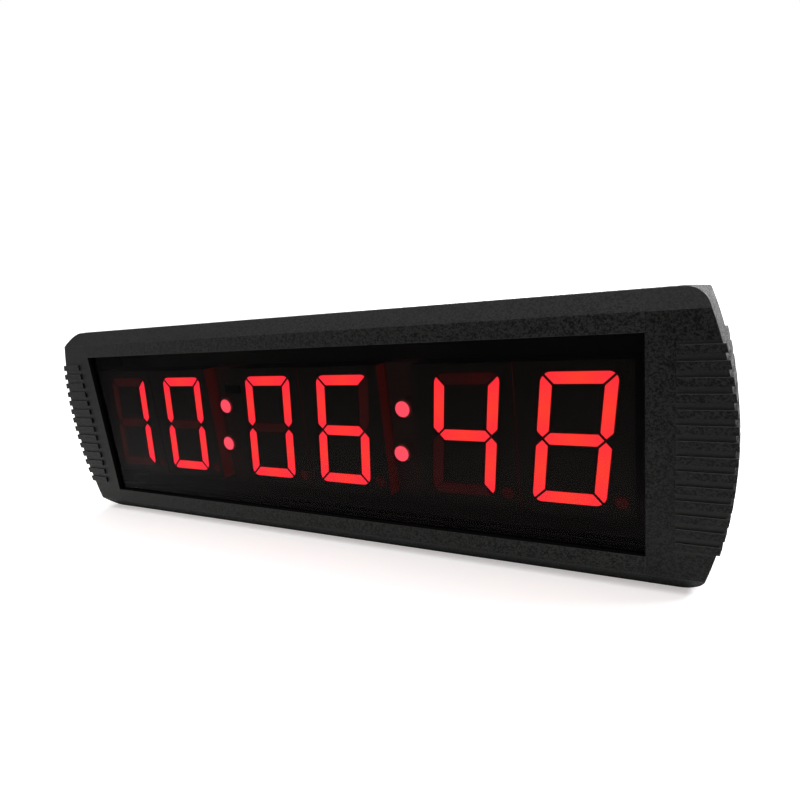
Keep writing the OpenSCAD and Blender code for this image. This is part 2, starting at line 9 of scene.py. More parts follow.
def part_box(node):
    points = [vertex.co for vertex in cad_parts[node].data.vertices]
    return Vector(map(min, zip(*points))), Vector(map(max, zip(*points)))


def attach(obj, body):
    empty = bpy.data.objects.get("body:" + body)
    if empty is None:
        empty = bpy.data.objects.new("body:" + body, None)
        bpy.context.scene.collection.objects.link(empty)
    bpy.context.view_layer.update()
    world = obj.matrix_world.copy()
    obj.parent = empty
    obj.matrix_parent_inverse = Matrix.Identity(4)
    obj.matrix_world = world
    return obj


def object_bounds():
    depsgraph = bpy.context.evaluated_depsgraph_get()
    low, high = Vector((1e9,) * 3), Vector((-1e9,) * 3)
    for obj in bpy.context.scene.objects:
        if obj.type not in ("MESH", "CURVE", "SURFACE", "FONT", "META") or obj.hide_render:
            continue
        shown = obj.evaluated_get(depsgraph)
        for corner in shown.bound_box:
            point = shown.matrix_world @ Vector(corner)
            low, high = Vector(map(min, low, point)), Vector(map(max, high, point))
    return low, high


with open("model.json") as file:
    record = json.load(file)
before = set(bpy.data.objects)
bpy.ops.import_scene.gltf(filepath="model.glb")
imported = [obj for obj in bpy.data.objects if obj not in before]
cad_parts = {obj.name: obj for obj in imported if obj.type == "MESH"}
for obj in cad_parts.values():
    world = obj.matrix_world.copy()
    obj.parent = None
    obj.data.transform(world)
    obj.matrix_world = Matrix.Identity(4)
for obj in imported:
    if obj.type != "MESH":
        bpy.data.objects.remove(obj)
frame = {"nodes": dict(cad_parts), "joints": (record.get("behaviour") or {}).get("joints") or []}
cad_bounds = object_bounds()
NODES = frame["nodes"]
MM = 0.001
DIGITS = range(1, 7)


# ---------- places worked out from the frame ----------

def middle(node):
    """Middle of a CAD node's box."""
    low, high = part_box(node)
    return (low + high) / 2


# ---------- camera ----------

# metres in the part's own frame, degrees, millimetres for the lens, and shares of the frame for the shift
CAMERA_AT = Vector((0.1590, -0.20235, 0.1054))
CAMERA_YAW, CAMERA_PITCH, CAMERA_ROLL = 31.46, -15.38, -6.49
CAMERA_LENS = 27.51
CAMERA_SENSOR = 36
CAMERA_SHIFT = (-0.0025, 0.051)


def make_camera():
    data = bpy.data.cameras.new("camera")
    data.lens = CAMERA_LENS
    data.sensor_width = CAMERA_SENSOR
    data.clip_start = 0.01
    data.shift_x, data.shift_y = CAMERA_SHIFT
    camera = bpy.data.objects.new("camera", data)
    turned = Matrix.Rotation(math.radians(CAMERA_YAW), 3, "Z")
    turned = turned @ Matrix.Rotation(math.radians(90 + CAMERA_PITCH), 3, "X")
    turned = turned @ Matrix.Rotation(math.radians(CAMERA_ROLL), 3, "Z")
    camera.matrix_world = Matrix.Translation(CAMERA_AT) @ turned.to_4x4()
    bpy.context.scene.collection.objects.link(camera)
    bpy.context.scene.camera = camera


# ---------- materials ----------

class Shader:
    """One procedural material, with short calls for the nodes it is made of."""

    def __init__(self, name):
        self.material = bpy.data.materials.new(name)
        self.material.use_nodes = True
        self.tree = self.material.node_tree
        self.tree.nodes.clear()
        self.bsdf = self.add("ShaderNodeBsdfPrincipled")
        out = self.add("ShaderNodeOutputMaterial")
        self.tree.links.new(self.bsdf.outputs[0], out.inputs["Surface"])
        self.place = self.add("ShaderNodeTexCoord").outputs["Object"]

    def add(self, kind, **settings):
        node = self.tree.nodes.new(kind)
        for key, value in settings.items():
            setattr(node, key, value)
        return node

    def feed(self, socket, value):
        if isinstance(value, bpy.types.NodeSocket):
            self.tree.links.new(value, socket)
        elif socket.type == "RGBA" and len(value) == 3:
            socket.default_value = (*value, 1)
        else:
            socket.default_value = value

    def set(self, **inputs):
        """Feeds the shader's own inputs; an underscore stands for a space."""
        for key, value in inputs.items():
            self.feed(self.bsdf.inputs[key.replace("_", " ")], value)

    def math(self, operation, a, b=0.0):
        node = self.add("ShaderNodeMath", operation=operation)
        self.feed(node.inputs[0], a)
        self.feed(node.inputs[1], b)
        return node.outputs[0]

    def noise(self, size_mm, detail, stretch=(1, 1, 1)):
        """Noise from 0 to 1 whose features are about size_mm across."""
        move = self.add("ShaderNodeMapping")
        self.feed(move.inputs["Vector"], self.place)
        move.inputs["Scale"].default_value = stretch
        node = self.add("ShaderNodeTexNoise")
        self.feed(node.inputs["Vector"], move.outputs[0])
        node.inputs["Scale"].default_value = 1 / (size_mm * MM)
        node.inputs["Detail"].default_value = detail
        return node.outputs["Fac"]

    def grains(self, size_mm):
        """Small irregular cells, each with its own value from 0 to 1."""
        node = self.add("ShaderNodeTexVoronoi")
        self.feed(node.inputs["Vector"], self.place)
        node.inputs["Scale"].default_value = 1 / (size_mm * MM)
        split = self.add("ShaderNodeSeparateColor")
        self.feed(split.inputs[0], node.outputs["Color"])
        return split.outputs[0]

    def ramp(self, value, low, high, out_low=0.0, out_high=1.0):
        """Carries low..high over to out_low..out_high, and holds the ends beyond it."""
        node = self.add("ShaderNodeMapRange")
        self.feed(node.inputs["Value"], value)
        limits = {"From Min": low, "From Max": high, "To Min": out_low, "To Max": out_high}
        for key, number in limits.items():
            self.feed(node.inputs[key], number)
        return node.outputs["Result"]

    def mix(self, amount, first, second):
        node = self.add("ShaderNodeMix", data_type="RGBA")
        self.feed(node.inputs["Factor"], amount)
        self.feed(node.inputs[6], first)
        self.feed(node.inputs[7], second)
        return node.outputs[2]

    def nearest(self, across, up, spots):
        """Distance from the shaded place to the nearest of some spots."""
        near = None
        for spot_across, spot_up in spots:
            dx = self.math("SUBTRACT", across, spot_across)
            dz = self.math("SUBTRACT", up, spot_up)
            squares = self.math("ADD", self.math("MULTIPLY", dx, dx), self.math("MULTIPLY", dz, dz))
            away = self.math("SQRT", squares)
            near = away if near is None else self.math("MINIMUM", near, away)
        return near

    def edges(self, radius_mm):
        """1 along convex and concave edges, 0 on flat faces."""
        soft = self.add("ShaderNodeBevel", samples=6)
        soft.inputs["Radius"].default_value = radius_mm * MM
        flat = self.add("ShaderNodeNewGeometry").outputs["Normal"]
        dot = self.add("ShaderNodeVectorMath", operation="DOT_PRODUCT")
        self.feed(dot.inputs[0], soft.outputs[0])
        self.feed(dot.inputs[1], flat)
        return self.ramp(dot.outputs["Value"], 1.0, 0.93)

    def upper_edges(self, radius_mm):
        """1 only where a face turns over towards the top."""
        soft = self.add("ShaderNodeBevel", samples=6)
        soft.inputs["Radius"].default_value = radius_mm * MM
        split = self.add("ShaderNodeSeparateXYZ")
        self.feed(split.inputs[0], soft.outputs[0])
        lift = self.math("SUBTRACT", split.outputs["Z"], self.facing((0, 0, 1)))
        return self.ramp(lift, 0.05, 0.3)

    def bump(self, height, strength, depth_mm):
        node = self.add("ShaderNodeBump")
        node.inputs["Strength"].default_value = strength
        node.inputs["Distance"].default_value = depth_mm * MM
        self.feed(node.inputs["Height"], height)
        self.set(Normal=node.outputs[0])

    def axis(self, name):
        """Place along one axis of the frame, in metres."""
        node = self.add("ShaderNodeSeparateXYZ")
        self.feed(node.inputs[0], self.place)
        return node.outputs[name]

    def facing(self, direction):
        """How squarely a face looks along a fixed direction of the frame."""
        dot = self.add("ShaderNodeVectorMath", operation="DOT_PRODUCT")
        self.feed(dot.inputs[0], self.add("ShaderNodeNewGeometry").outputs["Normal"])
        dot.inputs[1].default_value = direction
        return dot.outputs["Value"]


# size of the slow variation of a finish
SLOW_MM = 22


def shade(colour, factor):
    """The same colour, lighter or darker."""
    return tuple(min(1.0, c * factor) for c in colour)


def grained(name, colour, rough, grain_mm, depth_mm, strength, specular, edge_highlight=2.0):
    """Moulded or coated surface: fine grain, slow variation and a slight painted highlight along the edges.
    """
    s = Shader(name)
    fine = s.noise(grain_mm, 3)
    slow = s.noise(SLOW_MM, 3)
    speck = s.mix(s.ramp(fine, 0.3, 0.72), shade(colour, 0.55), shade(colour, 1.5))
    cloud = s.mix(s.ramp(slow, 0.3, 0.7), speck, shade(colour, 1.0))
    # painted highlight: the edges are made paler
    s.set(Base_Color=s.mix(s.edges(0.35), cloud, shade(colour, edge_highlight)))
    uneven = s.math("ADD", fine, s.math("MULTIPLY", slow, 0.6))
    s.set(Roughness=s.ramp(uneven, 0.4, 1.2, rough - 0.1, rough + 0.12))
    s.set(Specular_IOR_Level=specular)
    s.bump(fine, strength, depth_mm)
    return s.material


# how far from the opening's middle its inner sides begin
OPENING_FROM, OPENING_TO = 8 * MM, 14 * MM
# how far behind the window's front the dull lip with its painted shade has faded out
LIP_DEPTH = 0.2 * MM


def opening_side(s, axis, direction):
    """1 on the faces that look into the opening in front of the window, where shade is painted."""
    low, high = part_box("display_window")
    towards_middle = s.math("SUBTRACT", (low[axis] + high[axis]) / 2, s.axis("XYZ"[axis]))
    inward = s.ramp(s.math("MULTIPLY", s.facing(direction), towards_middle), OPENING_FROM, OPENING_TO)
    return s.math("MULTIPLY", inward, s.ramp(s.axis("Y"), low.y, low.y + LIP_DEPTH, 1.0, 0.0))


# ribs of the end caps: how far they stand out in front, half the height that they take up,
# and how far beyond the window's end they begin
RIB_RISE = 0.7 * MM
RIB_ZONE_HALF = 32.2 * MM
RIB_START = 3.9 * MM


def groove_floor(s):
    """1 on the front of the end caps between the ribs, where light is painted in."""
    low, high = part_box("left_end_cap")
    rib_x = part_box("display_window")[1].x + RIB_START
    depth = s.math("ABSOLUTE", s.math("SUBTRACT", s.axis("Y"), low.y + RIB_RISE))
    height = s.math("ABSOLUTE", s.math("SUBTRACT", s.axis("Z"), (low.z + high.z) / 2))
    at_depth = s.ramp(depth, 0.1 * MM, 0.25 * MM, 1.0, 0.0)
    beyond = s.ramp(s.math("ABSOLUTE", s.axis("X")), rib_x - 0.2 * MM, rib_x)
    within = s.ramp(height, RIB_ZONE_HALF - 0.3 * MM, RIB_ZONE_HALF, 1.0, 0.0)
    return s.math("MULTIPLY", at_depth, s.math("MULTIPLY", beyond, within))


# sizes in mm of the case finish's grains, and the share of each
SAND = ((0.3, 0.45), (0.6, 0.4), (1.2, 0.15))
# colour of the painted shade on the lip
LIP_SHADE = (0.0004, 0.0004, 0.0004)


def sanded(name, colour, rough, specular, edge_highlight, rail):
    """Sand-textured case finish: grains of three sizes, painted highlights along the edges, painted light on
    the underside and between the ribs, and painted shade on the dull lip.
    """
    s = Shader(name)
    sand = 0.0
    for size_mm, share in SAND:
        sand = s.math("ADD", sand, s.math("MULTIPLY", s.grains(size_mm), share))
    slow = s.noise(SLOW_MM, 3)
    speck = s.mix(s.ramp(sand, 0.32, 0.68), shade(colour, 0.0), shade(colour, 2.1))
    cloud = s.mix(s.ramp(slow, 0.3, 0.7, 0.0, 0.15), speck, shade(colour, 1.0))
    # painted highlight: paler edges, on the caps only where a face turns over towards the top
    edge = s.edges(0.4) if rail else s.upper_edges(0.4)
    # painted light from below: faces that look down are made paler
    under = s.ramp(s.facing((0, 0, -1)), 0.2, 0.8, 0.0, 0.6)
    coat = s.mix(under, s.mix(edge, cloud, shade(colour, edge_highlight)), shade(colour, 2.4))
    # painted light on the groove floors between the ribs of the caps
    if not rail:
        coat = s.mix(s.math("MULTIPLY", groove_floor(s), 0.6), coat, shade(colour, 3.0))
    # painted shade: the inner sides of the opening in front of the window are near black and dull
    lip = opening_side(s, 2, (0, 0, 1)) if rail else opening_side(s, 0, (1, 0, 0))
    s.set(Base_Color=s.mix(lip, coat, LIP_SHADE), Specular_IOR_Level=specular)
    s.set(Roughness=s.math("MAXIMUM", s.ramp(sand, 0.2, 0.8, rough - 0.2, rough + 0.2), lip))
    s.bump(s.math("ADD", s.noise(0.6, 1), s.math("MULTIPLY", sand, 0.5)), 0.9, 0.09)
    return s.material


def metal(name, colour, rough, brushed=(1, 1, 1)):
    """Bare or plated metal: brushed or mottled, with duller patches."""
    s = Shader(name)
    lines = s.noise(0.4, 3, brushed)
    dull = s.noise(4, 3)
    s.set(Metallic=1.0)
    s.set(Base_Color=s.mix(s.ramp(dull, 0.35, 0.7), shade(colour, 0.78), colour))
    s.set(Roughness=s.ramp(s.math("ADD", lines, dull), 0.7, 1.3, rough - 0.08, rough + 0.18))
    s.bump(lines, 0.25, 0.01)
    return s.material


def circuit_board(name, mask, copper):
    """Solder mask with tracks under it, drawn from two stretched noises."""
    s = Shader(name)
    lanes = s.noise(5, 0, (1, 1, 6))
    across = s.noise(5, 0, (6, 1, 1))
    track = s.math("MAXIMUM", s.ramp(s.math("PINGPONG", lanes, 0.05), 0.018, 0.024),
                   s.ramp(s.math("PINGPONG", across, 0.06), 0.026, 0.034))
    s.set(Base_Color=s.mix(track, mask, copper))
    s.set(Roughness=s.ramp(s.noise(1.2, 2), 0.3, 0.7, 0.28, 0.42))
    s.bump(track, 0.4, 0.035)
    return s.material


def smoked_window():
    """Dark gloss sheet: the lit bars show through it."""
    s = Shader("smoked_window")
    tint = s.ramp(s.noise(60, 2), 0.3, 0.7)
    s.set(Base_Color=s.mix(tint, (0.0015, 0.0012, 0.0012), (0.0025, 0.0018, 0.0018)))
    s.set(Roughness=s.ramp(s.noise(9, 3), 0.35, 0.7, 0.09, 0.13), Alpha=0.5, IOR=1.135)
    return s.material


# charcoal of what lies behind the window
INK = (0.042, 0.035, 0.029)

# what the lit parts give out
SEGMENT_POWER = 4.6
LAMP_GLOW = (1.0, 0.074, 0.115)
LAMP_POWER = 4.2

# bars of a digit: sideways lean for each unit of height, half a bar's width,
# distance from the digit's middle to its upright bars, and reach of the glow along a bar
DIGIT_LEAN = 0.112
BAR_HALF = 2.15 * MM
UPRIGHT_X = 10.25 * MM
GLOW_REACH = 9 * MM


def bar_ends(s, index):
    """0 at the middle of each of the digit's bars, rising towards their ends."""
    at = middle(f"digit_{index}_housing")
    low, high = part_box("digit_2_lit")
    top_bar = (high.z - low.z) / 2 - BAR_HALF
    height = s.math("SUBTRACT", s.axis("Z"), at.z)
    lean = s.math("MULTIPLY", height, DIGIT_LEAN)
    across = s.math("SUBTRACT", s.math("SUBTRACT", s.axis("X"), at.x), lean)
    spots = ((0, 0), (0, top_bar), (UPRIGHT_X, top_bar / 2))
    away = s.nearest(s.math("ABSOLUTE", across), s.math("ABSOLUTE", height), spots)
    return s.ramp(away, 0, GLOW_REACH)


def diffuser(s):
    """Fine frosted surface that lit and unlit bars share."""
    s.set(Roughness=s.ramp(s.noise(0.4, 2), 0.3, 0.7, 0.45, 0.6))
    s.bump(s.noise(0.3, 2), 0.2, 0.02)


def lit_bars(index):
    """Diffuser bar over its light: even, a little deeper at the ends and on the bevelled rim."""
    s = Shader(f"digit_{index}_lit")
    # 0 on the first digit and 1 on the last, which is a little more orange
    warm = (index - 1) / (len(DIGITS) - 1)
    blue = 1.12 - 0.24 * warm
    bright = (1.0, 0.030 + 0.010 * warm, 0.026 * blue)
    deep = (1.0, 0.018 + 0.008 * warm, 0.040 * blue)
    colour = s.mix(bar_ends(s, index), bright, deep)
    s.set(Base_Color=s.mix(s.noise(0.5, 2), (0.25, 0.02, 0.02), (0.35, 0.03, 0.03)))
    s.set(Emission_Color=colour)
    front = s.ramp(s.facing((0, -1, 0)), 0.75, 1.0, 0.12, 1.0)
    mottle = s.ramp(s.noise(1.6, 2), 0.3, 0.7, 0.94, 1.04)
    s.set(Emission_Strength=s.math("MULTIPLY", s.math("MULTIPLY", front, mottle), SEGMENT_POWER))
    diffuser(s)
    return s.material


def unlit_bars(index):
    """The same diffuser with its light off, faintly lit by its neighbours."""
    s = Shader(f"digit_{index}_unlit")
    s.set(Base_Color=s.mix(s.noise(0.5, 2), (0.055, 0.010, 0.010), (0.085, 0.014, 0.013)))
    s.set(Emission_Color=(1.0, 0.03, 0.03))
    s.set(Emission_Strength=s.ramp(s.noise(7, 2), 0.3, 0.7, 0.035, 0.075))
    diffuser(s)
    return s.material


# digits next to a gap with lamps, and how strongly their sides glow, down to which depth
BESIDE_LAMPS = (2, 3, 4, 5)
SIDE_GLOW = 0.075
SIDE_GLOW_FROM, SIDE_GLOW_TO = 5.2 * MM, 6.8 * MM


def housing(index):
    """Charcoal printed front; the lamps light the front part of the sides of the digits next to them."""
    s = Shader(f"digit_{index}_housing")
    front = s.ramp(s.facing((0, -1, 0)), 0.4, 0.8)
    face_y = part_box(f"digit_{index}_housing")[0].y
    fine = s.noise(0.9, 2)
    ink = s.mix(s.ramp(fine, 0.3, 0.7), INK, shade(INK, 1.3))
    # the sides are dark plastic with a painted red tint standing in for the light of the lit bars
    plastic = s.mix(s.ramp(fine, 0.3, 0.7), (0.030, 0.014, 0.013), (0.045, 0.020, 0.019))
    s.set(Base_Color=s.mix(front, plastic, ink))
    s.set(Roughness=s.ramp(fine, 0.3, 0.7, 0.5, 0.7), Specular_IOR_Level=0.2)
    s.set(Emission_Color=(1.0, 0.05, 0.045))
    near = s.ramp(s.axis("Y"), face_y + SIDE_GLOW_FROM, face_y + SIDE_GLOW_TO, 1.0, 0.0)
    by_lamps = SIDE_GLOW if index in BESIDE_LAMPS else 0.0
    side = s.ramp(s.math("ABSOLUTE", s.facing((1, 0, 0))), 0.4, 0.8, 0.0, by_lamps)
    s.set(Emission_Strength=s.math("MULTIPLY", near, side))
    return s.material


LAMP_RADIUS = 3.0 * MM
# how far the glow spreads from a lamp's rim, and how deep it goes
HALO_WIDTH, HALO_DEPTH = 1.2 * MM, 0.3 * MM


def lamp_spots():
    """Places (X, Z) of the four lamps, two to a gap, worked out from their common box."""
    low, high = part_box("colon_lamps")
    gaps = [(middle(f"digit_{i}_housing") + middle(f"digit_{i + 1}_housing")) / 2 for i in (2, 4)]
    half_rise = (high.z - low.z) / 2 - LAMP_RADIUS
    lean_x = (high.x - low.x - (gaps[1].x - gaps[0].x)) / 2 - LAMP_RADIUS
    offset = (low.x + high.x) / 2 - (gaps[0].x + gaps[1].x) / 2
    colon_z = (low.z + high.z) / 2
    return [(gap.x + offset + side * lean_x, colon_z + side * half_rise) for gap in gaps for side in (-1, 1)]


def lamp_holder():
    """Moulded plate and sleeves of the lamps, with the soft glow round each of them."""
    s = Shader("lamp_holder")
    away = s.nearest(s.axis("X"), s.axis("Z"), lamp_spots())
    sleeve_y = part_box("colon_holders")[0].y
    glow = s.ramp(away, LAMP_RADIUS, LAMP_RADIUS + HALO_WIDTH, 1.0, 0.0)
    glow = s.math("MULTIPLY", glow, s.ramp(s.axis("Y"), sleeve_y, sleeve_y + HALO_DEPTH, 1.0, 0.0))
    s.set(Base_Color=s.mix(s.ramp(s.noise(0.9, 2), 0.3, 0.7), INK, shade(INK, 1.3)))
    s.set(Roughness=s.ramp(s.noise(0.6, 2), 0.3, 0.7, 0.5, 0.7), Specular_IOR_Level=0.2)
    # the halo round each lamp is painted light, and a faint pinkish painted glow covers the whole plate as
    # well
    s.set(Emission_Color=s.mix(glow, (1.0, 0.40, 0.36), (1.0, 0.02, 0.035)))
    s.set(Emission_Strength=s.math("ADD", s.math("MULTIPLY", s.math("MULTIPLY", glow, glow), 0.3), 0.014))
    return s.material


def lamps():
    """Frosted flat lens of the lit lamps; the light leaves through its front."""
    s = Shader("colon_lamps")
    front = s.ramp(s.facing((0, -1, 0)), 0.6, 0.95, 0.15, 1.0)
    s.set(Base_Color=s.mix(s.noise(0.6, 2), (0.10, 0.01, 0.012), (0.13, 0.014, 0.016)))
    s.set(Emission_Color=LAMP_GLOW)
    s.set(Emission_Strength=s.math("MULTIPLY", front, LAMP_POWER))
    s.set(Roughness=s.ramp(s.noise(0.8, 2), 0.3, 0.7, 0.2, 0.35))
    return s.material


def plain(name, colour, rough, specular=0.5):
    """Small moulded piece: little grain, soft sheen."""
    return grained(name, colour, rough, 0.4, 0.012, 0.35, specular, 1.5)


CASE_BLACK = (0.0125, 0.0138, 0.0125)

MATERIALS = {
    "rail": lambda: sanded("rail_coat", CASE_BLACK, 0.55, 0.12, 3.6, True),
    "cap": lambda: sanded("cap_plastic", shade(CASE_BLACK, 0.72), 0.5, 0.13, 5.6, False),
    "screw": lambda: metal("zinc_screw", (0.55, 0.55, 0.53), 0.32),
    "window": smoked_window,
    "foam": lambda: grained("black_foam", (0.012, 0.012, 0.012), 0.85, 0.8, 0.2, 0.8, 0.1),
    "panel": lambda: grained("panel_plastic", (0.016, 0.0165, 0.016), 0.6, 0.4, 0.05, 0.7, 0.3),
    "black_board": lambda: circuit_board("black_board", (0.033, 0.029, 0.024), (0.044, 0.039, 0.032)),
    "green_board": lambda: circuit_board("green_board", (0.010, 0.075, 0.028), (0.022, 0.140, 0.052)),
    "holder": lamp_holder,
    "receiver": lambda: plain("receiver_epoxy", (0.024, 0.020, 0.018), 0.35),
    "brass": lambda: metal("brass_spacer", (0.75, 0.53, 0.22), 0.28, (1, 12, 1)),
    "chip": lambda: plain("chip_epoxy", (0.014, 0.014, 0.015), 0.5),
    "crystal": lambda: metal("crystal_can", (0.72, 0.73, 0.74), 0.22, (12, 1, 1)),
    "capacitor": lambda: metal("capacitor_can", (0.66, 0.68, 0.70), 0.25, (1, 10, 1)),
    "moulding": lambda: plain("black_moulding", (0.013, 0.013, 0.013), 0.45),
    "cell": lambda: metal("cell_steel", (0.70, 0.71, 0.72), 0.2, (8, 1, 1)),
    "connector": lambda: plain("connector_nylon", (0.72, 0.68, 0.56), 0.45),
    "lead": lambda: plain("red_lead", (0.40, 0.012, 0.012), 0.42),
    "contact": lambda: metal("contact_brass", (0.78, 0.62, 0.34), 0.25),
    "nut": lambda: metal("nut_steel", (0.58, 0.59, 0.60), 0.3),
    "rocker": lambda: plain("rocker_plastic", (0.010, 0.010, 0.010), 0.33),
    "button": lambda: grained("button_plastic", (0.030, 0.031, 0.030), 0.5, 0.3, 0.02, 0.4, 0.4, 1.6),
    "hanger": lambda: metal("hanger_steel", (0.62, 0.63, 0.62), 0.34, (14, 1, 1)),
    "lamp": lamps,
}

FINISH = {
    "top_rail": "rail", "bottom_rail": "rail", "left_end_cap": "cap", "right_end_cap": "cap",
    "end_cap_screws": "screw", "screw_plugs": "cap", "display_window": "window", "window_seals": "foam",
    "back_panel": "panel", "display_board": "black_board", "colon_holders": "holder",
    "colon_lamps": "lamp", "ir_receiver": "receiver", "control_board": "green_board",
    "board_spacers": "brass", "board_screws": "screw", "board_link": "moulding",
    "microcontroller": "chip", "segment_drivers": "chip", "clock_chip": "chip",
    "crystal": "crystal", "voltage_regulator": "chip", "capacitors": "capacitor",
    "coin_cell_holder": "moulding", "coin_cell": "cell", "buzzer": "moulding",
    "power_connector": "connector", "power_leads": "lead", "dc_jack": "moulding",
    "dc_jack_pin": "contact", "dc_jack_nut": "nut", "power_switch_body": "moulding",
    "power_rocker": "rocker", "button_switches": "moulding", "mode_button": "button",
    "set_button": "button", "plus_button": "button", "minus_button": "button",
    "left_hanger": "hanger", "right_hanger": "hanger",
}


def cover(node, material):
    slots = NODES[node].data.materials
    slots.clear()
    slots.append(material)


def finish_nodes():
    """Gives every CAD node its material; a finish is made once, and each digit has its own."""
    made = {}
    for node, key in FINISH.items():
        if key not in made:
            made[key] = MATERIALS[key]()
        cover(node, made[key])
    for i in DIGITS:
        cover(f"digit_{i}_lit", lit_bars(i))
        cover(f"digit_{i}_unlit", unlit_bars(i))
        cover(f"digit_{i}_housing", housing(i))


# ---------- edges ----------

WELD_WIDTH = 0.002 * MM
# degrees: faces this close to flat are joined, and edges sharper than this are rounded
FLAT_ANGLE, SHARP_ANGLE = 0.6, 28
# width of the rounding in mm, and the nodes that have it
SOFT_EDGES = {
    0.3: ("top_rail", "bottom_rail", "left_end_cap", "right_end_cap"),
    0.25: ("mode_button", "set_button", "plus_button", "minus_button", "screw_plugs", "left_hanger",
           "right_hanger"),
    0.2: ("back_panel", "power_rocker", "power_switch_body", "display_window"),
}
BAR_EDGE = 0.3


def soften(node, width_mm, segments=2):
    """Rounds a CAD node's sharp edges with modifiers; the vertices of its mesh stay."""
    piece = NODES[node]
    weld = piece.modifiers.new("weld", "WELD")
    weld.merge_threshold = WELD_WIDTH
    flat = piece.modifiers.new("flat", "DECIMATE")
    flat.decimate_type = "DISSOLVE"
    flat.angle_limit = math.radians(FLAT_ANGLE)
    bevel = piece.modifiers.new("bevel", "BEVEL")
    bevel.width = width_mm * MM
    bevel.segments = segments
    bevel.limit_method = "ANGLE"
    bevel.angle_limit = math.radians(SHARP_ANGLE)
    for face in piece.data.polygons:
        face.use_smooth = True
    piece.modifiers.new("even", "WEIGHTED_NORMAL")


def soften_nodes():
    for width_mm, nodes in SOFT_EDGES.items():
        for node in nodes:
            soften(node, width_mm)
    for i in DIGITS:
        soften(f"digit_{i}_lit", BAR_EDGE, 1)
        soften(f"digit_{i}_unlit", BAR_EDGE, 1)


# ---------- raised marks on the rear controls ----------

# in mm: how far a mark stands out of the surface and how far it goes in, and its rounding
MARK_RISE, MARK_ROOT, MARK_EDGE = 0.22, 0.3, 0.06
# length and thickness in mm of the lines on the buttons
LINE_LENGTH, LINE_WIDTH = 2.6, 0.55

# rocker in mm: its face's middle from the pin, then half its length, and how far the ends rise
ROCKER_FACE, ROCKER_HALF, ROCKER_END_RISE = 2.7, 5.1, 0.9
ROCKER_TILT = 9
ROCKER_MARK_AT = 2.8


def bar_mark(b, width, height):
    """Upright block of that width (X) and height (Z) in mm, let into the surface at Y = 0."""
    size = Vector((width, MARK_RISE + MARK_ROOT, height)) * MM
    made = bmesh.ops.create_cube(b, size=1)["verts"]
    bmesh.ops.scale(b, vec=size, verts=made)
    bmesh.ops.translate(b, vec=(0, (MARK_RISE - MARK_ROOT) / 2 * MM, 0), verts=made)


def ring_mark(b, outer, inner, steps=40):
    """Round or, with 4 steps, square ring in the XZ plane, let into the surface at Y = 0."""
    rings = []
    for radius, y in ((outer, -MARK_ROOT), (outer, MARK_RISE), (inner, MARK_RISE), (inner, -MARK_ROOT)):
        turn = math.pi / 4 if steps == 4 else 0
        rings.append([
            b.verts.new(Vector((
                radius * math.cos(turn + 2 * math.pi * i / steps), y,
                radius * math.sin(turn + 2 * math.pi * i / steps),
            )) * MM)
            for i in range(steps)
        ])
    for k in range(len(rings)):
        near, far = rings[k], rings[(k + 1) % len(rings)]
        for i in range(steps):
            j = (i + 1) % steps
            b.faces.new((near[i], near[j], far[j], far[i]))


def add_mark(name, body, draw, place, material):
    mesh = bpy.data.meshes.new(name)
    b = bmesh.new()
    draw(b)
    bmesh.ops.recalc_face_normals(b, faces=b.faces)
    b.to_mesh(mesh)
    b.free()
    mesh.materials.append(material)
    mark = bpy.data.objects.new(name, mesh)
    mark.matrix_world = place
    bpy.context.scene.collection.objects.link(mark)
    round_off = mark.modifiers.new("bevel", "BEVEL")
    round_off.width = MARK_EDGE * MM
    round_off.segments = 2
    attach(mark, body)


def add_marks():
    """Plus, minus, square and ring on the buttons; line and ring on the rocker."""
    ink = grained("mark_paint", (0.55, 0.56, 0.54), 0.5, 0.2, 0.01, 0.3, 0.3, 1.1)

    def plus(b):
        bar_mark(b, LINE_LENGTH, LINE_WIDTH)
        bar_mark(b, LINE_WIDTH, LINE_LENGTH)

    draws = {
        "mode_button": lambda b: ring_mark(b, 1.5, 0.85, 4),
        "set_button": lambda b: ring_mark(b, 1.2, 0.65),
        "plus_button": plus,
        "minus_button": lambda b: bar_mark(b, LINE_LENGTH, LINE_WIDTH),
    }
    for node, draw in draws.items():
        at = middle(node)
        at.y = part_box(node)[1].y
        add_mark(node.replace("button", "mark"), node, draw, Matrix.Translation(at), ink)

    hinge = next(j for j in frame["joints"] if j["name"] == "power_rocker_tilt")
    rocker = Matrix.Translation(hinge["pos_m"]) @ Matrix.Rotation(math.radians(-ROCKER_TILT), 4, "Z")
    rise = ROCKER_END_RISE * ROCKER_MARK_AT / ROCKER_HALF
    for name, side, draw in (
        ("rocker_on_mark", -1, lambda b: bar_mark(b, 0.5, LINE_LENGTH)),
        ("rocker_off_mark", 1, lambda b: ring_mark(b, 1.25, 0.8)),
    ):
        slope = math.atan2(ROCKER_END_RISE, ROCKER_HALF) * side
        at = Matrix.Translation(Vector((side * ROCKER_MARK_AT, ROCKER_FACE + rise, 0)) * MM)
        place = rocker @ at @ Matrix.Rotation(slope, 4, "Z")
        add_mark(name, "power_rocker", draw, place, ink)


# ---------- dark tile in front of the receiver ----------

TILE_WIDTH, TILE_THICK, TILE_EDGE = 9.0 * MM, 0.5 * MM, 0.12 * MM
# how far the tile is moved from the receiver's left end and height, and off the window's back
TILE_SHIFT = Vector((2.7, 0.1, -0.7)) * MM


